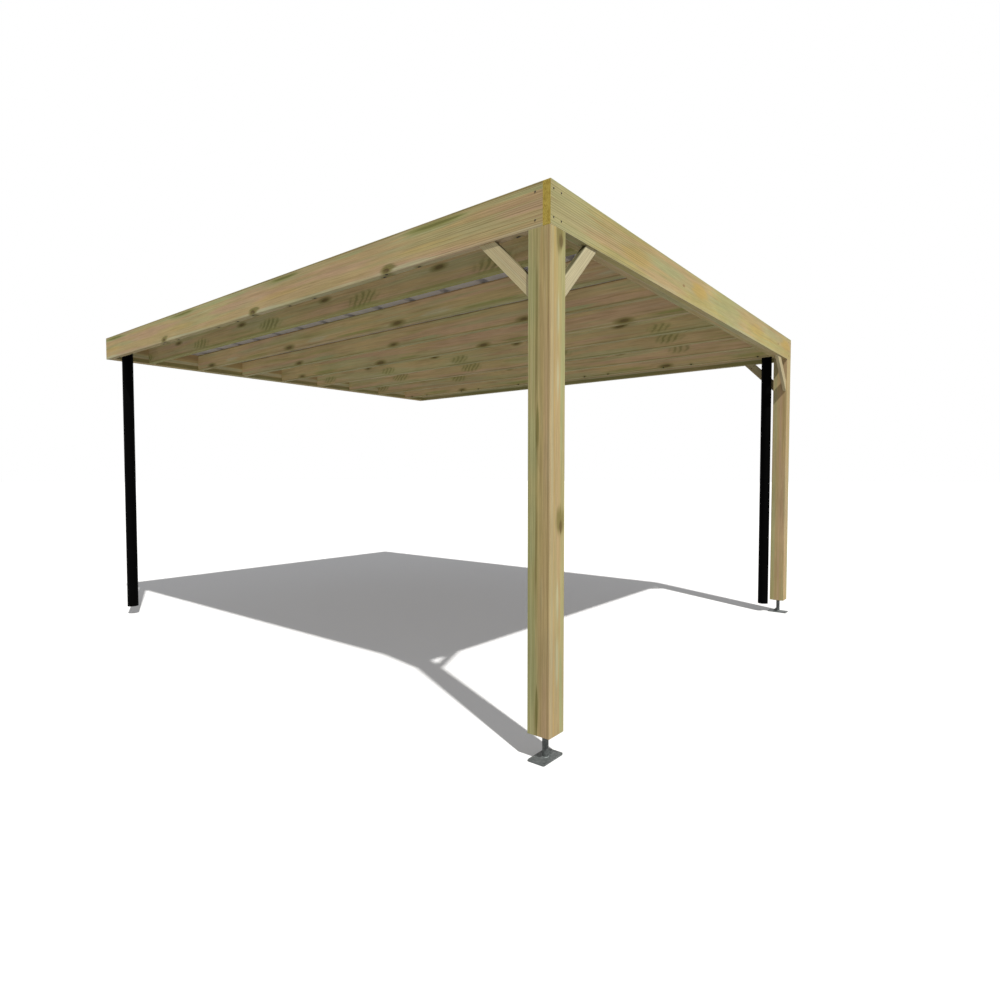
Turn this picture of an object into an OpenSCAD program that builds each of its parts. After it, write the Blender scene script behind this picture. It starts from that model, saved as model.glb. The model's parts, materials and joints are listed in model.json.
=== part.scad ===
// Lean-to carport: a flat timber roof held by a wall plate on one side and two braced posts on the other.
// The origin is the middle of the wall plate's back face. X runs away from the wall, Z is up.

/* [Roof size] */
// Wall to the outer face of the posts
roof_w = 4990; // [3600:10:6200]
// Near end to far end
roof_d = 4064; // [3000:4:5200]
// Ground to the underside of the beams
clear_h = 2387; // [1900:1:2900]

/* [Beams] */
// Depth of the boards round the roof
beam_depth = 195; // [145:5:245]
// Thickness of the boards round the roof
beam_t = 42; // [34:1:60]

/* [Joists] */
// Depth of the joists
joist_depth = 150; // [95:5:180]
// Thickness of the joists
joist_t = 45; // [34:1:60]
// Roof end to the middle of the first joist
end_bay = 361; // [280:1:460]

/* [Posts] */
// Side of the square post
post_w = 120; // [90:5:160]
// Ground to the underside of the post
foot_gap = 119; // [80:1:200]

/* [Braces] */
// Reach of a brace along the beam and down the post
brace_reach = 295; // [200:5:420]
// Width of the brace face
brace_face = 70; // [45:1:110]
// Thickness of the brace
brace_t = 26; // [20:1:36]
// Outer face of the roof to the brace
brace_inset = 8; // [0:1:14]

/* [Post feet] */
// Long side of the base plate
base_long = 160; // [120:2:220]
// Short side of the base plate
base_short = 92; // [70:2:130]
// Thickness of the base plate
base_t = 8; // [4:1:14]
// Corner radius of the base plate
base_r = 8; // [4:1:24]
// Diameter of the stem
stem_d = 30; // [20:1:44]
// Side of the cap plate under the post
cap_w = 80; // [60:2:88]
// Thickness of the cap plate
cap_t = 5; // [3:1:10]
// Height of the small rib behind the stem
rib_h = 30; // [14:1:36]
// Thickness of the small rib
rib_t = 10; // [4:1:10]

/* [Roof sheets] */
// Middle of one fold to the middle of the next
fold_pitch = 336; // [320:2:400]
// Wall side of the sheets to the middle of the first fold
first_fold = 201; // [140:1:235]
// Height of a fold
fold_h = 34; // [18:1:38]
// Width of a fold at its foot
fold_foot = 70; // [50:2:80]
// Width of a fold at its top
fold_top = 38; // [24:2:44]
// Fold to the first small rib that stiffens the flat
rib_near = 112; // [60:2:120]
// Fold to the second small rib
rib_far = 196; // [150:2:196]
// Height of a small rib
rib_rise = 3; // [1:0.5:5]
// Width of a small rib
rib_foot = 18; // [10:1:24]
// Thickness of the sheet
sheet_t = 2; // [1:0.5:3]
// Lap of one sheet over the next
sheet_lap = 40; // [20:2:50]
// Edge of a sheet to the middle of its first fold
lap_inset = 100; // [90:2:104]
// Gap between the sheets and the boards beside them
sheet_gap = 5; // [2:1:10]
// Beam to the sheet's end, over the gutter
sheet_setback = 58; // [40:2:80]

/* [Gutters and downpipes] */
// Width of the gutter
gutter_w = 130; // [110:2:160]
// Depth of the gutter
gutter_h = 70; // [50:2:90]
// Wall thickness of the gutter
gutter_t = 3; // [2:0.5:5]
// Sheet underside to the gutter's rim
rim_drop = 5; // [2:1:12]
// Diameter of the downpipe
pipe_d = 90; // [60:2:100]
// Wall thickness of the downpipe
pipe_t = 3; // [2:0.5:5]
// Ground to the lower end of the downpipe
pipe_gap = 74; // [40:2:160]
// Ledger to the side of the near downpipe
pipe_wall_gap = 61; // [10:1:400]
// Post to the side of the far downpipe
pipe_post_gap = 20; // [10:2:400]

/* [Hidden] */
$fn = 64;

joist_count = 8;
sheet_count = 5;

under_z = -beam_depth / 2;
ground_z = under_z - clear_h;
deck_z = under_z + joist_depth;
near_y = -roof_d / 2;
frame_t = 2 * beam_t;
tongue_w = post_w - beam_t;
joist_pitch = (roof_d - 2 * end_bay) / (joist_count - 1);
post_h = clear_h - foot_gap;
brace_cut = brace_face * sqrt(2);
stem_h = foot_gap - base_t - cap_t;
post_x = roof_w - post_w / 2;
post_y = near_y + post_w / 2;
sheets_w = roof_w - 2 * beam_t - 2 * sheet_gap;
sheet_len = roof_d - 2 * beam_t - 2 * sheet_setback;
fold_count = floor((sheets_w - first_fold - rib_far - rib_foot) / fold_pitch) + 1;
gutter_z = deck_z - rim_drop - gutter_h;
gutter_len = roof_w - frame_t - post_w;
pipe_bore = pipe_d / 2 - pipe_t;
pipe_y = near_y + beam_t + gutter_w / 2 + gutter_t;
near_pipe_x = frame_t + pipe_wall_gap + pipe_d / 2;
far_pipe_x = roof_w - post_w - pipe_post_gap - pipe_d / 2;

wood = [0.70, 0.62, 0.42];
steel = [0.42, 0.44, 0.46];
roofing = [0.62, 0.61, 0.68];
black = [0.03, 0.03, 0.03];

// The far half repeats the near half across the middle of the roof.
module far_side() {
    mirror([0, 1, 0]) children();
}

module end_beam() {
    translate([0, near_y, under_z]) cube([roof_w - beam_t, beam_t, beam_depth]);
}

module near_beam() {
    color(wood) end_beam();
}

module far_beam() {
    color(wood) far_side() end_beam();
}

module outer_beam() {
    color(wood) translate([roof_w - beam_t, near_y, under_z]) cube([beam_t, roof_d, beam_depth]);
}

module wall_plate() {
    color(wood) translate([0, near_y + beam_t, under_z]) cube([beam_t, roof_d - 2 * beam_t, beam_depth]);
}

module wall_ledger() {
    color(wood) translate([beam_t, near_y + beam_t, under_z]) cube([beam_t, roof_d - 2 * beam_t, joist_depth]);
}

module outer_bearer() {
    color(wood)
        translate([roof_w - frame_t, near_y + post_w, under_z])
            cube([beam_t, roof_d - 2 * post_w, joist_depth]);
}

// Joists hang between the ledger and the bearer, flush with them below.
module joist(place) {
    color(wood)
        translate([frame_t, near_y + end_bay + (place - 1) * joist_pitch - joist_t / 2, under_z])
            cube([roof_w - 2 * frame_t, joist_t, joist_depth]);
}

// The post is cut back on its two outer sides, so the beams sit on it and its tongue stands behind them.
module post() {
    translate([roof_w - post_w, near_y, under_z - post_h]) cube([post_w, post_w, post_h]);
    translate([roof_w - post_w, near_y + beam_t, under_z]) cube([tongue_w, tongue_w, joist_depth]);
}

module post_near() {
    color(wood) union() post();
}

module post_far() {
    color(wood) far_side() union() post();
}

module brace_shape() {
    linear_extrude(brace_t)
        polygon([
            [0, -brace_reach], [0, brace_cut - brace_reach],
            [brace_reach - brace_cut, 0], [brace_reach, 0]
        ]);
}

// Brace from the post up to the near beam
module side_brace() {
    translate([roof_w - post_w, near_y + brace_inset + brace_t, under_z])
        rotate([90, 0, 0]) mirror([1, 0, 0]) brace_shape();
}

// Brace from the post up to the outer beam
module outer_brace() {
    translate([roof_w - brace_inset - brace_t, near_y + post_w, under_z])
        rotate([90, 0, 90]) brace_shape();
}

module brace_near_side() {
    color(wood) side_brace();
}

module brace_near_outer() {
    color(wood) outer_brace();
}

module brace_far_side() {
    color(wood) far_side() side_brace();
}

module brace_far_outer() {
    color(wood) far_side() outer_brace();
}

module rounded_plate(long, short, thick, radius) {
    translate([-long / 2 + radius, -short / 2, 0]) cube([long - 2 * radius, short, thick]);
    translate([-long / 2, -short / 2 + radius, 0]) cube([long, short - 2 * radius, thick]);
    for (sx = [-1, 1], sy = [-1, 1])
        translate([sx * (long / 2 - radius), sy * (short / 2 - radius), 0]) cylinder(h = thick, r = radius);
}

// Plate on the ground with a small rib that meets the stem
module base_plate() {
    union() {
        rounded_plate(base_long, base_short, base_t, base_r);
        translate([stem_d / 2, rib_t / 2, base_t])
            rotate([90, 0, 0]) linear_extrude(rib_t) polygon([[0, 0], [rib_h, 0], [0, rib_h]]);
    }
}

module base_near() {
    color(steel) translate([post_x, post_y, ground_z]) rotate([0, 0, 90]) base_plate();
}

module base_far() {
    color(steel) translate([post_x, -post_y, ground_z]) rotate([0, 0, 180]) base_plate();
}

module stem() {
    translate([post_x, post_y, ground_z + base_t]) cylinder(h = stem_h, d = stem_d);
}

module stem_near() {
    color(steel) stem();
}

module stem_far() {
    color(steel) far_side() stem();
}

module cap() {
    translate([post_x - cap_w / 2, post_y - cap_w / 2, under_z - post_h - cap_t]) cube([cap_w, cap_w, cap_t]);
}

module cap_near() {
    color(steel) cap();
}

module cap_far() {
    color(steel) far_side() cap();
}

// Folds are shared out between the sheets; a sheet holds those from split(place - 1) to the one before split(place).
function split(place) = floor(place * fold_count / sheet_count);

function fold_x(index) = first_fold + index * fold_pitch;

// Left edge of the sheet after this one
function sheet_edge(place) =
    place == 0 ? 0 : place == sheet_count ? sheets_w : fold_x(split(place)) - lap_inset;

// Each fold is followed by its two small ribs.
function fold_line(place, lift) = [
    for (i = [split(place - 1) : split(place) - 1], p = [
        [-fold_foot / 2, 0], [-fold_top / 2, fold_h], [fold_top / 2, fold_h], [fold_foot / 2, 0],
        [rib_near - rib_foot / 2, 0], [rib_near, rib_rise], [rib_near + rib_foot / 2, 0],
        [rib_far - rib_foot / 2, 0], [rib_far, rib_rise], [rib_far + rib_foot / 2, 0]
    ]) [fold_x(i) + p[0], p[1] + lift]
];

function reversed(points) = [for (i = [len(points) - 1 : -1 : 0]) points[i]];

// Folded sheet along Y; every sheet but the last laps onto the flat edge of the next one.
module sheet(place) {
    start = sheet_edge(place - 1);
    end = sheet_edge(place);
    edge = place == sheet_count ? [[end, 0], [end, sheet_t]] : [
        [end, 0], [end, sheet_t], [end + sheet_lap, sheet_t],
        [end + sheet_lap, 2 * sheet_t], [end - sheet_t, 2 * sheet_t], [end - sheet_t, sheet_t]
    ];
    color(roofing)
        translate([beam_t + sheet_gap, sheet_len / 2, deck_z])
            rotate([90, 0, 0]) linear_extrude(sheet_len)
                polygon(concat(
                    [[start, 0]], fold_line(place, 0), edge, reversed(fold_line(place, sheet_t)), [[start, sheet_t]]
                ));
}

module gutter() {
    translate([frame_t, near_y + beam_t, gutter_z])
        difference() {
            cube([gutter_len, gutter_w, gutter_h]);
            translate([gutter_t, gutter_t, gutter_t])
                cube([gutter_len - 2 * gutter_t, gutter_w - 2 * gutter_t, gutter_h]);
        }
}

// Gutter with the hole over its downpipe
module drained_gutter(pipe_x) {
    difference() {
        gutter();
        translate([pipe_x, pipe_y, gutter_z - gutter_t]) cylinder(h = 3 * gutter_t, r = pipe_bore);
    }
}

module gutter_near() {
    color(black) drained_gutter(near_pipe_x);
}

module gutter_far() {
    color(black) far_side() drained_gutter(far_pipe_x);
}

module downpipe(pipe_x) {
    translate([pipe_x, pipe_y, ground_z + pipe_gap])
        difference() {
            cylinder(h = gutter_z - ground_z - pipe_gap, d = pipe_d);
            translate([0, 0, -pipe_t]) cylinder(h = gutter_z - ground_z - pipe_gap + 2 * pipe_t, r = pipe_bore);
        }
}

module downpipe_near() {
    color(black) downpipe(near_pipe_x);
}

module downpipe_far() {
    color(black) far_side() downpipe(far_pipe_x);
}

near_beam();
outer_beam();
far_beam();
wall_plate();
wall_ledger();
outer_bearer();
joist(1);  // joist_1
joist(2);  // joist_2
joist(3);  // joist_3
joist(4);  // joist_4
joist(5);  // joist_5
joist(6);  // joist_6
joist(7);  // joist_7
joist(8);  // joist_8
post_near();
post_far();
brace_near_side();
brace_near_outer();
brace_far_side();
brace_far_outer();
base_near();
base_far();
stem_near();
stem_far();
cap_near();
cap_far();
sheet(1);  // sheet_1
sheet(2);  // sheet_2
sheet(3);  // sheet_3
sheet(4);  // sheet_4
sheet(5);  // sheet_5
gutter_near();
gutter_far();
downpipe_near();
downpipe_far();
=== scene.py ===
import json
import math
import random

import bmesh
import bpy
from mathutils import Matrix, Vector

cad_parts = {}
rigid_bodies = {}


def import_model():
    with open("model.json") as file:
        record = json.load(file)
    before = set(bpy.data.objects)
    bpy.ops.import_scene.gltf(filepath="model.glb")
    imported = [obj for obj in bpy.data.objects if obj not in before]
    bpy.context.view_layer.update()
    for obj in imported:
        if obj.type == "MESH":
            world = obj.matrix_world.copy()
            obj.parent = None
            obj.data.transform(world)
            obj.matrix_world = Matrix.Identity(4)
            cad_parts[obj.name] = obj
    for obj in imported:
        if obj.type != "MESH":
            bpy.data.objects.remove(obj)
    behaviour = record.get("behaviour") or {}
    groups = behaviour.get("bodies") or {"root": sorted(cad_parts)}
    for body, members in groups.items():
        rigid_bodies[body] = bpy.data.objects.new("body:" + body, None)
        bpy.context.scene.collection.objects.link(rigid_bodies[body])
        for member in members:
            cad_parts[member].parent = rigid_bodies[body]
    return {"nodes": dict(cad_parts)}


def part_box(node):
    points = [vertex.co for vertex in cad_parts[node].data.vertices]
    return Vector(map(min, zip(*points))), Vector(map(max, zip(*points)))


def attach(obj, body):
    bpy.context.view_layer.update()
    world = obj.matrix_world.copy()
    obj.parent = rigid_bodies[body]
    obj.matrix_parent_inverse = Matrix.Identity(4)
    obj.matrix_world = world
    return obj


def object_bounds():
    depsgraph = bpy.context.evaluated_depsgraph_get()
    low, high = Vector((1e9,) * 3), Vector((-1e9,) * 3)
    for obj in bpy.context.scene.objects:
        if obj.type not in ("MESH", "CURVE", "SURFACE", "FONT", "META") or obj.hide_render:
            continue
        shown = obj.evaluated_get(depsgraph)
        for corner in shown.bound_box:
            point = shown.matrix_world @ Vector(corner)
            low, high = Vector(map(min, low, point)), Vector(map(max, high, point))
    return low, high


for leftover in list(bpy.data.objects):
    bpy.data.objects.remove(leftover)

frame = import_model()
cadNodes = frame["nodes"]
cadLow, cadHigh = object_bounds()
groundLevel = cadLow.z
print("frame loaded:", len(cadNodes), "solids")


def tint(red, green, blue):
    # a screen colour 0..255 as the linear values that shader sockets take
    def linear(value):
        share = value / 255
        return share / 12.92 if share <= 0.04045 else ((share + 0.055) / 1.055) ** 2.4
    return (linear(red), linear(green), linear(blue), 1.0)


class Wire:
    # an output socket that can stand in a sum; every step of the sum is a Math node
    def __init__(self, finish, socket):
        self.finish = finish
        self.socket = socket

    def math(self, operation, *parts):
        return self.finish.add("Math", {"operation": operation}, dict(enumerate(parts)))

    def __add__(self, other):
        return self.math("ADD", self, other)

    def __radd__(self, other):
        return self.math("ADD", other, self)

    def __sub__(self, other):
        return self.math("SUBTRACT", self, other)

    def __rsub__(self, other):
        return self.math("SUBTRACT", other, self)

    def __mul__(self, other):
        return self.math("MULTIPLY", self, other)

    def __rmul__(self, other):
        return self.math("MULTIPLY", other, self)

    def __truediv__(self, other):
        return self.math("DIVIDE", self, other)

    def __pow__(self, power):
        return self.math("POWER", self, power)

    def __abs__(self):
        return self.math("ABSOLUTE", self)

    def share(self):
        return self.math("FRACT", self)

    def floor(self):
        return self.math("FLOOR", self)

    def least(self, other):
        return self.math("MINIMUM", self, other)

    def most(self, other):
        return self.math("MAXIMUM", self, other)


class Finish:
    # one material, or the world, under construction
    def __init__(self, name=None, tree=None):
        self.tree = tree
        if name:
            self.material = bpy.data.materials.new(name)
            self.material.use_nodes = True
            self.tree = self.material.node_tree
        self.tree.nodes.clear()

    def add(self, kind, settings=None, sockets=None, out=0):
        # any node: its type, its settings, then the values or links of its sockets
        node = self.tree.nodes.new("ShaderNode" + kind)
        for key, value in (settings or {}).items():
            if key == "stops":
                while len(node.color_ramp.elements) < len(value):
                    node.color_ramp.elements.new(1.0)
                for element, (place, shade) in zip(node.color_ramp.elements, value):
                    element.position = place
                    element.color = shade if isinstance(shade, tuple) else (shade,) * 3 + (1.0,)
            else:
                setattr(node, key, value)
        for key, value in (sockets or {}).items():
            if isinstance(value, Wire):
                self.tree.links.new(value.socket, node.inputs[key])
            else:
                node.inputs[key].default_value = value
        return Wire(self, node.outputs[out]) if node.outputs else None

    def place(self):
        return self.add("TexCoord", None, None, 3)

    def split(self, vector):
        return [self.add("SeparateXYZ", None, {0: vector}, index) for index in range(3)]

    def dot(self, vector, way):
        return self.add("VectorMath", {"operation": "DOT_PRODUCT"}, {0: vector, 1: way}, 1)

    def vector(self, x, y, z):
        return self.add("CombineXYZ", None, {"X": x, "Y": y, "Z": z})

    def noise(self, where, scale=1.0, detail=2.0, roughness=0.5):
        return self.add("TexNoise", None, {"Vector": where, "Scale": scale, "Detail": detail,
                                           "Roughness": roughness})

    def random(self, value):
        return self.add("TexWhiteNoise", {"noise_dimensions": "1D"}, {"W": value})

    def ramp(self, value, stops):
        return self.add("ValToRGB", {"stops": stops}, {"Fac": value})

    def rise(self, value, low, high):
        # 0 at low, 1 at high, smooth between; low may be the larger one
        return self.add("MapRange", {"interpolation_type": "SMOOTHSTEP"},
                        {"Value": value, "From Min": low, "From Max": high})

    def blend(self, shadeA, shadeB, factor):
        return self.add("Mix", {"data_type": "RGBA"}, {0: factor, 6: shadeA, 7: shadeB}, 2)

    def multiply(self, shadeA, shadeB, factor=1.0):
        return self.add("Mix", {"data_type": "RGBA", "blend_type": "MULTIPLY"},
                        {0: factor, 6: shadeA, 7: shadeB}, 2)

    def bump(self, height, strength, distance):
        return self.add("Bump", None, {"Strength": strength, "Distance": distance, "Height": height})

    def seenRay(self):
        # 1 for rays that show the background: straight from the camera, mirrored or let through
        camera, glossy, through = (self.add("LightPath", None, None, index) for index in (0, 3, 6))
        return camera.most(glossy).most(through)

    def surface(self, sockets):
        shader = self.add("BsdfPrincipled", None, sockets)
        self.add("OutputMaterial", None, {"Surface": shader})
        return self.material


timberShades = {
    "tan": tint(199, 174, 127),          # plain sawn face
    "yellow": tint(196, 181, 118),
    "gold": tint(204, 174, 98),
    "pink": tint(203, 169, 136),
    "sage": tint(176, 181, 130),         # pale green left by the preservative
    "green": tint(152, 154, 88),
    "deepGreen": tint(120, 118, 64),
    "pale": tint(202, 199, 160),
    "brown": tint(158, 128, 86),
    "line": tint(140, 114, 70),          # dark line of each year
    "endPale": tint(208, 184, 88),
    "endLine": tint(160, 130, 50),
    "knot": tint(98, 78, 46),
    "knotRim": tint(46, 36, 22),
    "halo": tint(136, 126, 72),
    "pin": tint(30, 24, 16),
    "worn": tint(200, 196, 164),
    "light": tint(224, 214, 176),
    # dark colour for the painted shade on the braces' upper sides
    "paintedShade": tint(70, 68, 38),
}


def timber(name, grain, face, middle, look):
    # grain and face are the directions of the board's length and of its width
    finish = Finish("timber_" + name)
    seed = look["seed"]
    spot = finish.add("VectorMath", {"operation": "SUBTRACT"}, {0: finish.place(), 1: middle})
    along, across, depth = (finish.dot(spot, way) for way in (grain, face, grain.cross(face)))

    def streaks(stretch, fineness, shift, detail=2.0, roughness=0.55):
        # noise drawn out along the grain
        return finish.noise(finish.vector(along * stretch + seed * shift, across * fineness + shift,
                                          depth * fineness + seed), 1.0, detail, roughness)

    def fromMark(at, repeat=None):
        repeat = repeat or look["repeat"]
        return along.math("WRAP", along - at, repeat / 2, -repeat / 2)

    wander = streaks(0.55, 1.6, 3.1, 1.0) - 0.5      # slow bend of the trunk
    wobble = streaks(2.6, 11.0, 1.3, 3.0) - 0.5      # uneven line of each year
    fine = streaks(2.0, 55.0, 0.7, 3.0, 0.6)
    hair = streaks(5.0, 210.0, 1.1, 2.0, 0.6)
    fibre = streaks(14.0, 520.0, 2.9, 2.0, 0.6)
    cloud = streaks(1.6, 3.0, 0.9, 3.0)

    # long soft zones of tint, then narrower streaks
    wood = finish.blend(timberShades["tan"], timberShades["yellow"],
                        finish.rise(streaks(0.9, 9.0, 4.7), 0.40, 0.60) * look.get("yellow", 0.5))
    wood = finish.blend(wood, timberShades["pink"],
                        finish.rise(streaks(0.7, 13.0, 1.9), 0.46, 0.62) * look.get("pink", 0.5))
    wood = finish.blend(wood, timberShades["gold"],
                        finish.rise(streaks(1.1, 10.0, 6.1), 0.52, 0.68) * look.get("gold", 0.2))
    wood = finish.blend(wood, timberShades["sage"],
                        finish.rise(streaks(0.8, 15.0, 2.3), 0.48, 0.63) * look.get("sage", 0.5))
    wood = finish.blend(wood, timberShades["green"],
                        finish.rise(streaks(1.0, 20.0, 5.3), 0.56, 0.72) * look.get("green", 0.5))
    wood = finish.blend(wood, timberShades["brown"], finish.rise(fine, 0.52, 0.72) * look.get("brown", 0.35))
    wood = finish.blend(wood, timberShades["pale"], finish.rise(fine, 0.46, 0.26) * look.get("pale", 0.35))

    # stripes that run the whole length, patchy where asked
    for sense, centre, half, shade, amount, patchy in look.get("bands", []):
        offset = (across if sense == "across" else depth) - centre
        band = finish.rise(abs(offset + (fine - 0.5) * (half * 0.9)) * (1 / half), 1.2, 0.65)
        patch = finish.rise(streaks(1.3, 2.0, centre * 41 + 1.7), 0.44, 0.56) * patchy + (1 - patchy)
        wood = finish.blend(wood, timberShades[shade], band * patch * amount)

    # dashes and patches that come back along the board
    for sense, at, height, length, tall, shade, amount in look.get("marks", []):
        run, side = fromMark(at) / length, ((across if sense == "across" else depth) - height) / tall
        distance = (run * run + side * side) ** 0.5 + (fine - 0.5) * 1.5 + wobble * 0.9
        wood = finish.blend(wood, timberShades[shade], finish.rise(distance, 1.1, 0.45) * amount)

    # year lines: rings round a heart that lies off to one side
    swell = 0.0
    nearest = None
    for at, height, size, stretch in look.get("knots", []):
        run, side = fromMark(at) / (size * stretch), (across - height) / size
        distance = (run * run + side * side) ** 0.5 + wobble * 1.5 + (fine - 0.5) * 0.7
        swell = finish.rise(distance, 4.5, 0.3) * (size * 0.5) + swell
        nearest = distance if nearest is None else nearest.least(distance)
    ringAcross = across - look["pith"][0] + wander * look["wander"]
    ringDepth = depth - look["pith"][1] + wander * (look["wander"] * 0.6)
    radius = (ringAcross * ringAcross + ringDepth * ringDepth) ** 0.5 + wobble * 0.008 + swell
    year = radius / look["ring"]
    late = finish.ramp(year.share(), [(0.0, 0.0), (0.45, 0.10), (0.80, 0.75), (0.92, 1.0), (1.0, 0.0)])
    bold = finish.rise(streaks(0.9, 5.0, 5.3), 0.38, 0.62) * 0.7 + 0.3
    lines = late * (finish.random(year.floor() + seed) * 0.7 + 0.3) * bold * look["contrast"]
    wood = finish.blend(wood, timberShades["line"], lines)

    # straight dark lines that show near one end
    if "ruled" in look:
        ruled = look["ruled"]
        rule = (across + wander * 0.010 + wobble * 0.003) / ruled["spacing"]
        stroke = finish.rise(abs(rule.share() - 0.5), 0.20, 0.05)
        zone = finish.rise(along + wobble * 0.7, ruled["from"], ruled["to"])
        picked = finish.rise(finish.random(rule.floor() + seed), 0.15, 0.6)
        wood = finish.blend(wood, timberShades[ruled["shade"]], stroke * zone * picked * ruled["amount"])

    # nested strokes where the grain turns round a branch
    for at, height, length, tall, amount in look.get("flames", []):
        step, side = fromMark(at), (across - height) / tall
        run = step / length
        inside = finish.rise((run * run + side * side) ** 0.5 + wobble * 0.8, 1.15, 0.5)
        bent = (step - side * 0.030 + side * side * 0.02) / 0.060 + wobble * 2.6
        stroke = finish.rise(abs(bent.share() - 0.5) + (fine - 0.5) * 0.5, 0.36, 0.10)
        wood = finish.blend(wood, timberShades["green"], inside * (amount * 0.5))
        wood = finish.blend(wood, timberShades["deepGreen"], inside * stroke * (hair * 0.7 + 0.4) * amount)

    if nearest is not None:
        wood = finish.blend(wood, timberShades["halo"], finish.rise(nearest, 2.6, 1.0) * 0.85)
        heart = finish.blend(timberShades["knot"], timberShades["knotRim"],
                             (nearest * 3.2).share() * look.get("eye", 0.4))
        wood = finish.blend(wood, heart, finish.rise(nearest, 1.3, 0.5) * look.get("heart", 0.9))
    for at, repeat, height, deep, size in look.get("pins", []):
        run = fromMark(at, repeat) / (size * 1.5)
        side, inward = (across - height) / size, (depth - deep) / size
        pin = (run * run + side * side + inward * inward) ** 0.5 + (hair - 0.5) * 0.5
        wood = finish.blend(wood, timberShades["halo"], finish.rise(pin, 3.8, 1.1) * 0.65)
        wood = finish.blend(wood, timberShades["pin"], finish.rise(pin, 1.2, 0.8))

    # cut ends: ochre and mottled, with the year rings and short drying cracks
    endMask = finish.rise(abs(finish.dot(finish.add("TexCoord", None, None, 1), grain)), 0.75, 0.92)
    blotch = finish.noise(finish.vector(across * 60 + seed, depth * 60, along * 60), 1.0, 3.0, 0.6)
    endWood = finish.blend(timberShades["endPale"], timberShades["endLine"],
                           late * 0.45 + finish.rise(blotch, 0.45, 0.65) * 0.45)
    angle = ringAcross.math("ARCTAN2", ringAcross, ringDepth)
    drying = finish.noise(finish.vector(angle * 9 + seed, radius * 5, seed), 1.0, 3.0, 0.7)
    crack = finish.rise(drying, 0.66, 0.74)
    endWood = finish.blend(endWood, timberShades["knotRim"], crack * 0.5)
    wood = finish.blend(wood, endWood, endMask)

    # cloudy light and dark, fine fibre, and the eased edges
    wood = finish.multiply(wood, finish.ramp(cloud, [(0.30, 0.86), (0.70, 1.06)]))
    wood = finish.multiply(wood, finish.ramp(hair, [(0.32, 0.84), (0.62, 1.04)]), 0.85)
    wood = finish.multiply(wood, finish.ramp(fibre, [(0.25, 0.86), (0.6, 1.0)]), 0.8)
    edge = (look["half"][0] - abs(across)).most(look["half"][1] - abs(depth))
    worn = finish.rise(edge, 0.0042, 0.0016) * (1 - endMask)
    wood = finish.blend(wood, timberShades[look.get("edgeShade", "worn")], worn * look.get("edge", 0.3))

    height = late * 0.5 + fibre * 0.35 + hair * 0.5 + fine * 0.3 - endMask * crack * 2.0
    if nearest is not None:
        height = height + finish.rise(nearest, 1.3, 0.7) * 0.6
    roughness = 0.78 - late * 0.10 + endMask * 0.12 + fibre * 0.08
    return finish.surface({"Base Color": wood, "Roughness": roughness, "Specular IOR Level": 0.25,
                           "Normal": finish.bump(height, 0.6, 0.0009)})


def way(letter):
    return {"X": Vector((1, 0, 0)), "Y": Vector((0, 1, 0)), "Z": Vector((0, 0, 1))}[letter]


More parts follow.
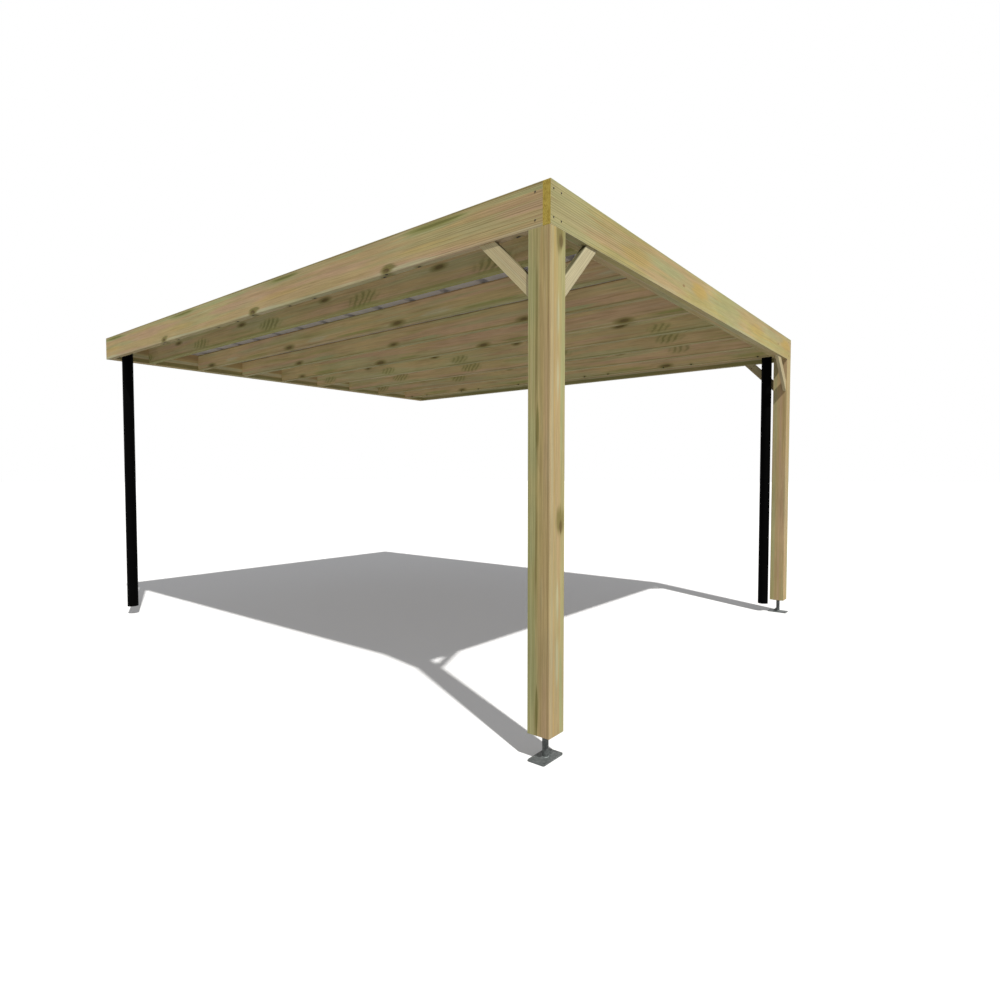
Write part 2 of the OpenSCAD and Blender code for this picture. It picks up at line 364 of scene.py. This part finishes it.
# Each board: direction of its grain and of its width, heart and ring size, then its marks.
# knots: along, height, size, stretch.  marks: way, along, place, half length, half width, shade, amount.
# bands: way, place, half width, shade, amount, patchiness.  pins: along, repeat, height, depth, size.
# flames: along, height, half length, half width, amount.  ruled: lines between from and to, full past to.
boards = {
    "near_beam": {
        "grain": "X", "face": "Z", "seed": 1.7, "pith": (0.016, 0.11), "ring": 0.0085, "repeat": 1.355,
        "knots": [(0.096, -0.082, 0.013, 1.9)],
        "marks": [("across", 0.456, 0.066, 0.26, 0.022, "sage", 0.6),
                  ("across", 0.456, 0.072, 0.24, 0.018, "green", 0.85),
                  ("across", 0.48, 0.072, 0.19, 0.009, "deepGreen", 0.85),
                  ("across", 0.30, -0.086, 0.21, 0.011, "pale", 0.65),
                  ("across", 0.12, -0.066, 0.06, 0.016, "deepGreen", 0.8),
                  ("across", -0.25, 0.0, 0.30, 0.028, "pink", 0.7),
                  ("across", 0.40, -0.02, 0.26, 0.024, "gold", 0.35)],
        "bands": [("across", 0.094, 0.006, "deepGreen", 0.75, 0.25),
                  ("across", 0.076, 0.012, "sage", 0.7, 0.5),
                  ("across", -0.090, 0.008, "pale", 0.6, 0.5)],
        "pins": [(-0.429, 0.915, -0.0965, -0.015, 0.0085), (-0.159, 0.915, -0.0965, -0.015, 0.0080),
                 (0.086, 1.355, -0.0965, 0.010, 0.0075)],
        "ruled": {"spacing": 0.0098, "from": 1.55, "to": 1.93, "amount": 0.6, "shade": "line"},
        "yellow": 0.3, "pink": 0.75, "gold": 0.1, "sage": 0.45, "green": 0.25, "contrast": 0.25,
        "wander": 0.05, "edge": 0.2},
    "far_beam": {
        "grain": "X", "face": "Z", "seed": 4.1, "pith": (0.02, -0.12), "ring": 0.008, "repeat": 1.355,
        "knots": [(0.35, -0.02, 0.013, 1.7)],
        # the dark green band along the bottom is painted shade
        "bands": [("across", -0.080, 0.021, "deepGreen", 0.8, 0.15),
                  ("across", -0.056, 0.004, "pale", 0.7, 0.3)],
        "yellow": 0.4, "pink": 0.5, "gold": 0.15, "sage": 0.5, "green": 0.5, "contrast": 0.4, "wander": 0.06},
    "outer_beam": {
        "grain": "Y", "face": "Z", "seed": 2.6, "pith": (0.03, -0.14), "ring": 0.009, "repeat": 2.15,
        "marks": [("across", -0.30, 0.01, 0.16, 0.050, "gold", 0.8),
                  ("across", -0.78, 0.03, 0.30, 0.040, "sage", 0.5),
                  ("across", 0.45, -0.03, 0.35, 0.045, "pink", 0.35),
                  ("across", 0.95, -0.01, 0.22, 0.05, "gold", 0.5),
                  ("across", -0.56, -0.012, 0.022, 0.010, "brown", 0.9),
                  ("across", -1.90, 0.0, 0.36, 0.16, "sage", 0.5)],
        "bands": [("across", 0.093, 0.005, "sage", 0.6, 0.2), ("across", -0.088, 0.010, "pale", 0.35, 0.6)],
        "ruled": {"spacing": 0.0110, "from": -0.85, "to": -1.35, "amount": 0.6, "shade": "deepGreen"},
        "yellow": 1.0, "pink": 0.0, "gold": 0.3, "sage": 0.4, "green": 0.2, "contrast": 0.3,
        "wander": 0.05, "edge": 0.3},
    "wall_plate": {
        "grain": "Y", "face": "Z", "seed": 6.2, "pith": (-0.02, 0.12), "ring": 0.007, "repeat": 1.6,
        "knots": [(0.35, 0.03, 0.012, 1.7)], "yellow": 0.4, "pink": 0.5, "contrast": 0.4, "wander": 0.06},
    "wall_ledger": {
        "grain": "Y", "face": "Z", "seed": 7.9, "pith": (0.01, 0.10), "ring": 0.007, "repeat": 1.4,
        "knots": [(-0.2, 0.03, 0.010, 1.7)],
        # bands of painted light and shade: painted shade along the top (brown) and the bottom (dark green), a
        # painted highlight (pale) between them
        "bands": [("across", 0.040, 0.036, "brown", 0.6, 0.2), ("across", -0.018, 0.016, "pale", 0.65, 0.2),
                  ("across", -0.054, 0.019, "deepGreen", 0.75, 0.1)],
        "yellow": 0.5, "pink": 0.2, "sage": 0.5, "contrast": 0.4, "wander": 0.06},
    "outer_bearer": {
        "grain": "Y", "face": "Z", "seed": 9.3, "pith": (0.0, -0.09), "ring": 0.007, "repeat": 1.5,
        "knots": [(0.6, -0.01, 0.012, 1.7)], "bands": [("across", -0.066, 0.009, "green", 0.5, 0.5)],
        "yellow": 0.4, "pink": 0.3, "sage": 0.6, "green": 0.6, "contrast": 0.4, "wander": 0.06},
    "post_near": {
        "grain": "Z", "face": "X", "seed": 3.3, "pith": (0.01, 0.02), "ring": 0.006, "repeat": 1.27,
        "bands": [("across", -0.040, 0.028, "sage", 0.7, 0.4), ("across", -0.052, 0.004, "green", 0.5, 0.7),
                  ("across", -0.012, 0.007, "deepGreen", 0.6, 1.0),
                  ("across", -0.028, 0.003, "green", 0.5, 0.8),
                  ("across", 0.012, 0.006, "brown", 0.2, 0.6), ("across", 0.034, 0.012, "pink", 0.35, 0.6),
                  ("across", 0.050, 0.0022, "brown", 0.7, 0.3), ("depth", -0.042, 0.010, "pale", 0.45, 0.4),
                  ("depth", 0.044, 0.016, "sage", 0.7, 0.4), ("depth", -0.024, 0.004, "gold", 0.4, 0.5)],
        "marks": [("across", 0.187, -0.008, 0.10, 0.009, "deepGreen", 0.8),
                  ("depth", -0.235, 0.022, 0.085, 0.046, "halo", 0.85),
                  ("depth", -0.262, 0.028, 0.040, 0.020, "knot", 0.7),
                  ("depth", -0.593, 0.004, 0.11, 0.012, "pale", 0.7),
                  ("depth", -0.866, 0.002, 0.12, 0.013, "pale", 0.7),
                  ("depth", 0.25, 0.032, 0.30, 0.014, "sage", 0.7)],
        "ruled": {"spacing": 0.0072, "from": -9.0, "to": -8.0, "amount": 0.35, "shade": "line"},
        "yellow": 0.6, "pink": 0.15, "gold": 0.3, "sage": 0.35, "green": 0.25, "contrast": 0.3,
        "wander": 0.04, "edge": 0.15},
    "post_far": {
        "grain": "Z", "face": "X", "seed": 5.8, "pith": (-0.015, 0.01), "ring": 0.006, "repeat": 1.36,
        "bands": [("across", -0.040, 0.016, "sage", 0.5, 0.4), ("across", 0.010, 0.010, "pink", 0.6, 0.4),
                  ("depth", 0.040, 0.014, "sage", 0.5, 0.4)],
        "yellow": 0.35, "pink": 0.6, "sage": 0.3, "green": 0.2, "contrast": 0.3, "wander": 0.04,
        "edge": 0.15},
}
joistLook = {"grain": "X", "face": "Z", "ring": 0.0075, "yellow": 0.3, "pink": 0.7, "gold": 0.1, "sage": 0.5,
             "green": 0.45, "brown": 0.45, "contrast": 0.35, "wander": 0.07, "edge": 0.12,
             "edgeShade": "green", "eye": 0.15, "heart": 0.7}
paintedDeckShade = ("across", 0.0730, 0.0075, "knot", 0.65, 0.1)       # painted shade: a dark band along the top of each joist face, where the sheets lie on it
sawnFoot = [("across", -0.0700, 0.0060, "deepGreen", 0.55, 0.5),
            ("across", -0.0753, 0.0022, "sage", 0.25, 0.6)]
joistMarks = [  # along the joist from its middle
    {"repeat": 1.09, "knots": [(-0.68, 0.036, 0.011, 3.4)], "flames": [(-1.36, -0.022, 0.16, 0.050, 0.8)],
     "bands": [("across", -0.066, 0.010, "green", 0.7, 0.4), ("across", -0.0753, 0.0022, "green", 0.7, 0.2)]},
    {"repeat": 1.37, "knots": [(-0.76, -0.055, 0.013, 3.3)],
     "marks": [("across", -0.35, -0.04, 0.16, 0.018, "pale", 0.6),
               ("across", 0.1, -0.058, 0.3, 0.010, "green", 0.8)]},
    {"repeat": 1.37, "knots": [(0.03, -0.056, 0.013, 3.3)],
     "marks": [("across", 0.42, -0.05, 0.2, 0.014, "sage", 0.8)]},
    {"repeat": 1.315, "knots": [(-0.69, -0.058, 0.013, 3.3)],
     "marks": [("across", -0.3, -0.05, 0.25, 0.014, "green", 0.8)]},
    {"repeat": 1.035, "knots": [(-0.42, 0.036, 0.011, 3.3)], "flames": [(-1.12, -0.024, 0.12, 0.040, 0.7)]},
    {"repeat": 1.10, "knots": [(-0.6, 0.058, 0.010, 3.0)], "flames": [(-1.44, -0.005, 0.15, 0.050, 0.8)]},
    {"repeat": 1.36, "knots": [(-0.2, 0.03, 0.011, 3.0)], "flames": [(0.4, 0.0, 0.13, 0.045, 0.7)]},
    {"repeat": 1.38, "knots": [(0.04, -0.054, 0.012, 3.3)],
     "marks": [("across", -0.4, -0.045, 0.3, 0.018, "green", 0.7)],
     "pins": [(0.475, 0.915, -0.070, 0.020, 0.0065), (0.763, 0.915, -0.070, 0.020, 0.006)]},
]
for marks in joistMarks:
    marks["bands"] = marks.get("bands", sawnFoot) + [paintedDeckShade]
pithTurns = random.Random(11)
for number, marks in enumerate(joistMarks, 1):
    pith = (pithTurns.uniform(-0.03, 0.03), pithTurns.choice((-1, 1)) * pithTurns.uniform(0.05, 0.12))
    boards[f"joist_{number}"] = dict(joistLook, seed=11.3 + number * 2.17, pith=pith, **marks)

edgeWidths = {"board": 0.0012, "post": 0.0015, "brace": 0.0015, "steel": 0.0008}
seamGap, sharpAngle, smoothAngle = 0.00002, 40, 35      # metres, degrees, degrees


def easeEdges(node, width, segments=2):
    # rounds the arrises of a solid that keeps its own mesh
    piece = cadNodes[node]
    weld = piece.modifiers.new("joinSeams", "WELD")
    weld.merge_threshold = seamGap
    bevel = piece.modifiers.new("easedEdges", "BEVEL")
    bevel.width = width
    bevel.segments = segments
    bevel.limit_method = "ANGLE"
    bevel.angle_limit = math.radians(sharpAngle)
    bevel.use_clamp_overlap = True


def dress(node, material):
    mesh = cadNodes[node].data
    if not mesh.materials:
        mesh.materials.append(material)
    for index in range(len(mesh.materials)):
        mesh.materials[index] = material


for node, look in boards.items():
    low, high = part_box(node)
    grain, face = way(look["grain"]), way(look["face"])
    size = high - low
    look["half"] = (abs(size.dot(face)) / 2, abs(size.dot(grain.cross(face))) / 2)
    dress(node, timber(node, grain, face, (low + high) / 2, look))
    easeEdges(node, edgeWidths["post" if node.startswith("post") else "board"])

braces = {
    "brace_near_side": {"grain": (1, 0, -1), "face": (1, 0, 1), "seed": 31.0, "wash": 0.5},
    "brace_far_side": {"grain": (1, 0, -1), "face": (1, 0, 1), "seed": 33.0, "wash": 0.4},
    "brace_near_outer": {"grain": (0, 1, 1), "face": (0, -1, 1), "seed": 35.0, "wash": 0.85},
    "brace_far_outer": {"grain": (0, 1, -1), "face": (0, 1, 1), "seed": 37.0, "wash": 0.5},
}
braceLook = {"pith": (0.01, 0.06), "ring": 0.006, "repeat": 3.0, "yellow": 0.5, "pink": 0.15, "gold": 0.1,
             "sage": 0.4, "green": 0.05, "brown": 0.15, "pale": 0.5, "contrast": 0.25, "wander": 0.03,
             "half": (0.035, 0.013), "edge": 0.2, "upperShade": ("across", 0.0365, 0.0040, "paintedShade", 0.95, 0.1),
             "ruled": {"spacing": 0.008, "from": -0.6, "to": -0.5, "amount": 0.35, "shade": "line"}}
for node, ways in braces.items():
    low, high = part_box(node)
    paleWash = ("across", 0.0, 0.06, "light", ways["wash"], 0.0)
    # each brace gets a pale band over its whole width and a band of painted shade along its upper side
    look = dict(braceLook, seed=ways["seed"], bands=[paleWash, braceLook["upperShade"]])
    grain, face = Vector(ways["grain"]).normalized(), Vector(ways["face"]).normalized()
    # the brace lies off the middle of its box, towards the corner
    middle = (low + high) / 2 + face * look["half"][0]
    dress(node, timber(node, grain, face, middle, look))
    easeEdges(node, edgeWidths["brace"])
print("timber finished")

sheetLook = {"coat": tint(202, 199, 200), "deep": tint(186, 183, 188), "dust": tint(206, 202, 190),
             "roughness": 0.42}


def coatedSteel():
    finish = Finish("coated_sheet")
    spot = finish.place()
    x, y, z = finish.split(spot)
    speckle = finish.noise(spot, 900.0, 2.0, 0.6)
    mottle = finish.noise(finish.vector(x * 9, y * 1.4, z * 9), 1.0, 4.0, 0.55)
    runs = finish.noise(finish.vector(x * 60, y * 1.1, z * 60), 1.0, 3.0, 0.6)
    shade = finish.blend(sheetLook["coat"], sheetLook["deep"], finish.rise(mottle, 0.38, 0.68) * 0.55)
    shade = finish.blend(shade, sheetLook["dust"], finish.rise(runs, 0.52, 0.80) * 0.35)
    shade = finish.multiply(shade, finish.ramp(speckle, [(0.3, 0.94), (0.6, 1.0)]))
    return finish.surface({"Base Color": shade, "Roughness": mottle * 0.12 + sheetLook["roughness"],
                           "Metallic": 0.05, "Normal": finish.bump(speckle * 0.6 + mottle, 0.25, 0.0006)})


sheetFinish = coatedSteel()
for number in range(1, 6):
    dress(f"sheet_{number}", sheetFinish)

plasticLook = {"black": tint(3, 3, 3), "worn": tint(9, 9, 10), "roughness": 0.55}


def blackPlastic(name, lengthways):
    finish = Finish("plastic_" + name)
    spot = finish.place()
    x, y, z = finish.split(spot)
    stretch = {"X": (2, 130, 130), "Z": (130, 130, 2)}[lengthways]
    draw = finish.noise(finish.vector(x * stretch[0], y * stretch[1], z * stretch[2]), 1.0, 3.0, 0.6)
    cloud = finish.noise(spot, 6.0, 3.0, 0.5)
    grit = finish.noise(spot, 700.0, 2.0, 0.6)
    shade = finish.blend(plasticLook["black"], plasticLook["worn"],
                         finish.rise(draw, 0.5, 0.8) * 0.4 + finish.rise(cloud, 0.5, 0.75) * 0.4)
    return finish.surface({"Base Color": shade, "Roughness": cloud * 0.18 + plasticLook["roughness"],
                           "Normal": finish.bump(draw + grit * 0.4, 0.3, 0.0004), "Specular IOR Level": 0.02})


for side in ("near", "far"):
    dress("gutter_" + side, blackPlastic("gutter_" + side, "X"))
    dress("downpipe_" + side, blackPlastic("downpipe_" + side, "Z"))
print("sheets and pipes finished")

# copies of one galvanised finish at different brightness: the stem copy is darker as painted shade under the
# post, the weld copy lighter as a painted highlight; the base and cap copies are a little darker
steelLook = {"grey": tint(98, 103, 101), "dark": tint(64, 67, 68), "bright": tint(140, 144, 141),
             "flakes": 130.0, "lightAndShadeLevels": {"base": 0.95, "stem": 0.66, "cap": 0.80, "weld": 1.35}}


def galvanised(name, level):
    finish = Finish("steel_" + name)
    spot = finish.place()
    flake = finish.add("TexVoronoi", {"feature": "F1"},
                       {"Vector": spot, "Scale": steelLook["flakes"], "Randomness": 1.0}, 1)
    flakeTone = finish.add("SeparateColor", None, {0: flake})
    cloud = finish.noise(spot, 22.0, 4.0, 0.6)
    grit = finish.noise(spot, 600.0, 3.0, 0.6)
    shade = finish.blend(steelLook["grey"], steelLook["dark"], finish.rise(cloud, 0.42, 0.70) * 0.7)
    shade = finish.blend(shade, steelLook["bright"], finish.rise(flakeTone, 0.55, 0.95) * 0.35)
    shade = finish.multiply(shade, (level, level, level * 1.03, 1.0))
    return finish.surface({"Base Color": shade, "Roughness": cloud * 0.25 + flakeTone * 0.08 + 0.36,
                           "Metallic": 0.35, "Normal": finish.bump(grit + flakeTone * 0.5, 0.4, 0.0003)})


feetFinishes = {part: galvanised(part, level) for part, level in steelLook["lightAndShadeLevels"].items()}
for side in ("near", "far"):
    for part in ("base", "stem", "cap"):
        dress(f"{part}_{side}", feetFinishes[part])
    easeEdges("base_" + side, edgeWidths["steel"])
    easeEdges("cap_" + side, edgeWidths["steel"])
print("feet finished")


def pieceFrom(shape, name, material):
    bmesh.ops.recalc_face_normals(shape, faces=shape.faces)
    mesh = bpy.data.meshes.new(name)
    shape.to_mesh(mesh)
    shape.free()
    for polygon in mesh.polygons:
        polygon.use_smooth = True
    mesh.set_sharp_from_angle(angle=math.radians(smoothAngle))
    mesh.materials.append(material)
    piece = bpy.data.objects.new(name, mesh)
    bpy.context.scene.collection.objects.link(piece)
    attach(piece, "root")
    return piece


def turned(shape, place, outward, profile, turn=0.0, steps=36):
    # rings of points round an axis; a profile row is reach, lift, and how far the ring has lobes and how many
    outward = outward.normalized()
    side = outward.orthogonal().normalized()
    up = outward.cross(side)
    rows = []
    for reach, lift, lobe, count in profile:
        if reach == 0.0:
            rows.append([shape.verts.new(place + outward * lift)])
            continue
        row = []
        for index in range(steps):
            angle = 2 * math.pi * index / steps
            spread = reach * (1 + lobe * math.cos(count * angle))
            turnedAngle = angle + turn
            row.append(shape.verts.new(place + outward * lift + spread * (
                side * math.cos(turnedAngle) + up * math.sin(turnedAngle))))
        rows.append(row)
    for lower, upper in zip(rows, rows[1:]):
        for index in range(steps):
            after = (index + 1) % steps
            if len(upper) == 1:
                shape.faces.new((lower[index], lower[after], upper[0]))
            else:
                shape.faces.new((lower[index], lower[after], upper[after], upper[index]))


def screwFinish(name, shade, worn):
    finish = Finish(name)
    cloud = finish.noise(finish.place(), 300.0, 3.0, 0.6)
    mixed = finish.blend(shade, worn, finish.rise(cloud, 0.45, 0.75))
    return finish.surface({"Base Color": mixed, "Roughness": cloud * 0.2 + 0.45, "Metallic": 0.5,
                           "Normal": finish.bump(cloud, 0.3, 0.0002)})


# countersunk timber screws: radius, how far the head stands proud, and where they sit
screwLook = {"radius": 0.0044, "rise": 0.0013, "heights": (0.0605, -0.0625), "postInset": 0.040,
             "endInsets": (0.023, 0.084), "shade": tint(58, 52, 44), "worn": tint(86, 80, 68)}
screwSteel = screwFinish("screw_steel", screwLook["shade"], screwLook["worn"])


def screwHead(shape, place, outward, turn):
    radius, rise = screwLook["radius"], screwLook["rise"]
    profile = [(radius, 0.0, 0, 0), (radius, rise * 0.45, 0, 0), (radius * 0.93, rise * 0.8, 0, 0),
               (radius * 0.78, rise, 0, 0), (radius * 0.52, rise, 0.16, 6),
               (radius * 0.50, rise * 0.25, 0.16, 6),
               (0.0, rise * 0.2, 0, 0)]
    turned(shape, place, outward, profile, turn)


beamLow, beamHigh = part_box("near_beam")
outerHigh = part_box("outer_beam")[1]
turns = random.Random(5)
for side, sign in (("near", -1), ("far", 1)):
    heads = bmesh.new()
    for height in screwLook["heights"]:
        place = Vector((beamHigh.x - screwLook["postInset"], -sign * beamLow.y, height))
        screwHead(heads, place, Vector((0, sign, 0)), turns.uniform(0, 1))
        for inset in screwLook["endInsets"]:
            place = Vector((outerHigh.x, (outerHigh.y - inset) * sign, height))
            screwHead(heads, place, Vector((1, 0, 0)), turns.uniform(0, 1))
    pieceFrom(heads, "corner_screws_" + side, screwSteel)

# two screws in each end of a brace, on the face that looks into the carport
braceScrews = {"fromEnd": 0.040, "apart": 0.017, "face": 0.070}
up = Vector((0, 0, 1))
for side, sign in (("near", -1), ("far", 1)):
    heads = bmesh.new()
    for node in (f"brace_{side}_side", f"brace_{side}_outer"):
        low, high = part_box(node)
        if node.endswith("side"):
            away, outward = Vector((-1, 0, 0)), Vector((0, -sign, 0))
            corner = Vector((high.x, low.y if sign > 0 else high.y, high.z))
        else:
            away, outward = Vector((0, -sign, 0)), Vector((-1, 0, 0))
            corner = Vector((low.x, high.y if sign > 0 else low.y, high.z))
        slope, cross = (away + up).normalized(), (up - away).normalized()
        run = high.z - low.z - braceScrews["face"] / math.sqrt(2)      # level run of the middle line
        middle = corner + (away - up) * (run / 2)
        step = run / math.sqrt(2) - braceScrews["fromEnd"]
        for end in (-1, 1):
            for lean in (-1, 1):
                place = middle + slope * (end * step) + cross * (lean * braceScrews["apart"])
                screwHead(heads, place, outward, turns.uniform(0, 1))
    pieceFrom(heads, "brace_screws_" + side, screwSteel)

# washer-head screws that hold the roof sheets down on every joist
roofScrews = {"washer": 0.0085, "washerRise": 0.0016, "hexagon": 0.0046, "hexagonRise": 0.0062,
              "shade": tint(150, 148, 156), "worn": tint(112, 112, 118), "rows": 14, "folds": 3,
              "fromEdge": 0.254, "sheet": 0.002}
roofSteel = screwFinish("roof_screw_steel", roofScrews["shade"], roofScrews["worn"])
heads = bmesh.new()
foldPitch = (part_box("sheet_3")[0].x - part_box("sheet_2")[0].x) / roofScrews["folds"]
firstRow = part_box("sheet_2")[0].x + roofScrews["fromEdge"] - 2 * foldPitch
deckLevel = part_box("sheet_1")[0].z
washer, hexagon = roofScrews["washer"], roofScrews["hexagon"]
profile = [(washer, 0.0, 0, 0), (washer, roofScrews["washerRise"] * 0.5, 0, 0),
           (washer * 0.6, roofScrews["washerRise"], 0, 0), (hexagon, roofScrews["washerRise"], 0.07, 6),
           (hexagon, roofScrews["hexagonRise"] * 0.9, 0.07, 6),
           (hexagon * 0.8, roofScrews["hexagonRise"], 0, 0),
           (0.0, roofScrews["hexagonRise"], 0, 0)]
for joist in range(1, 9):
    low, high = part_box(f"joist_{joist}")
    for row in range(roofScrews["rows"]):
        place = Vector((firstRow + row * foldPitch, (low.y + high.y) / 2, deckLevel + roofScrews["sheet"]))
        turned(heads, place, Vector((0, 0, 1)), profile, turns.uniform(0, 1), 18)
pieceFrom(heads, "roof_screws", roofSteel)

# rippled weld beads where the stem meets its plates
weldLook = {"bead": 0.0024, "ripples": 34, "steps": 136}
for side in ("near", "far"):
    low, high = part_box("stem_" + side)
    centre = (low + high) / 2
    stem = (high.x - low.x) / 2
    beads = bmesh.new()
    bead, ripples = weldLook["bead"], weldLook["ripples"]
    profile = [(stem - 0.001, bead * 1.3, 0, 0), (stem + bead * 0.45, bead * 1.15, 0.006, ripples),
               (stem + bead * 0.95, bead * 0.7, 0.012, ripples), (stem + bead * 1.25, 0.0, 0.006, ripples)]
    for level, sense in ((low.z, 1), (high.z, -1)):
        place = Vector((centre.x, centre.y, level))
        turned(beads, place, Vector((0, 0, sense)), profile, 0.0, weldLook["steps"])
    pieceFrom(beads, "weld_" + side, feetFinishes["weld"])
print("screws and welds finished")

floorLook = {"seen": tint(238, 238, 238), "lift": 0.117, "liftShade": (0.96, 0.98, 1.04, 1), "bounce": 0.29,
             "bounceShade": (1.0, 0.99, 0.97, 1), "reach": 150.0, "under": 0.0005}


def floorFinish():
    # rays that light the object meet an even glow; rays that show the floor see it white with its shadow
    finish = Finish("floor")
    seen = finish.add("BsdfPrincipled", None, {"Base Color": floorLook["seen"], "Roughness": 0.9,
                                               "Specular IOR Level": 0.0,
                                               "Emission Color": floorLook["liftShade"],
                                               "Emission Strength": floorLook["lift"]})
    bounce = finish.add("Emission", None,
                        {"Color": floorLook["bounceShade"], "Strength": floorLook["bounce"]})
    finish.add("OutputMaterial", None,
               {"Surface": finish.add("MixShader", None, {0: finish.seenRay(), 1: bounce, 2: seen})})
    return finish.material


shape = bmesh.new()
bmesh.ops.create_grid(shape, x_segments=1, y_segments=1, size=floorLook["reach"])
floorMesh = bpy.data.meshes.new("floor")
shape.to_mesh(floorMesh)
shape.free()
floorMesh.materials.append(floorFinish())
floor = bpy.data.objects.new("floor", floorMesh)
floor.location = (0, 0, groundLevel - floorLook["under"])
floor.visible_shadow = False     # the low fill light comes up from the pale ground
bpy.context.scene.collection.objects.link(floor)

joistNames = [node for node in cadNodes if node.startswith("joist")]
lights = {
    "sun": {"towards": (-0.644, 0.29, -1.0), "strength": 3.9, "spread": 1.2, "shade": (1.0, 0.985, 0.955)},
    "fill": {"towards": (-0.22, 0.90, 0.30), "strength": 0.50, "spread": 60, "shade": (1.0, 1.0, 1.0)},
    # soft light that fills the bays between the joists
    "bays": {"towards": (-0.68, 0.72, 0.10), "strength": 0.72, "spread": 40, "shade": (1.0, 1.0, 1.0),
             "lights": joistNames + ["wall_ledger", "far_beam", "outer_bearer"]},
}
for name, light in lights.items():
    lamp = bpy.data.lights.new(name, "SUN")
    lamp.energy = light["strength"]
    lamp.angle = math.radians(light["spread"])
    lamp.color = light["shade"]
    holder = bpy.data.objects.new(name, lamp)
    holder.rotation_mode = "QUATERNION"
    holder.rotation_quaternion = Vector(light["towards"]).to_track_quat("-Z", "Y")
    bpy.context.scene.collection.objects.link(holder)
    if "lights" in light:
        lamp.use_shadow = False
        lit = bpy.data.collections.new(name)
        for node in light["lights"]:
            lit.objects.link(cadNodes[node])
        holder.light_linking.receiver_collection = lit

skyStrength = 0.26
world = bpy.data.worlds.new("studio")
bpy.context.scene.world = world
world.use_nodes = True
sky = Finish(tree=world.node_tree)
dim = sky.add("Background", None, {"Color": (1, 1, 1, 1), "Strength": skyStrength})
white = sky.add("Background", None, {"Color": (1, 1, 1, 1), "Strength": 1.0})
sky.add("OutputWorld", None, {"Surface": sky.add("MixShader", None, {0: sky.seenRay(), 1: dim, 2: white})})

cameraLook = {"place": (6.508, -4.287, -1.190), "turn": 38.558, "down": 2.188, "roll": -0.013,
              "lens": 22.21, "sensor": 36.0, "clip": (0.05, 400.0)}
cameraData = bpy.data.cameras.new("camera")
cameraData.sensor_width = cameraLook["sensor"]
cameraData.lens = cameraLook["lens"]
cameraData.clip_start, cameraData.clip_end = cameraLook["clip"]
camera = bpy.data.objects.new("camera", cameraData)
camera.location = cameraLook["place"]
camera.rotation_euler = (math.radians(90 - cameraLook["down"]), math.radians(cameraLook["roll"]),
                         math.radians(cameraLook["turn"]))
bpy.context.scene.collection.objects.link(camera)
bpy.context.scene.camera = camera
bpy.context.scene.view_settings.view_transform = "Standard"
print("light and camera finished")
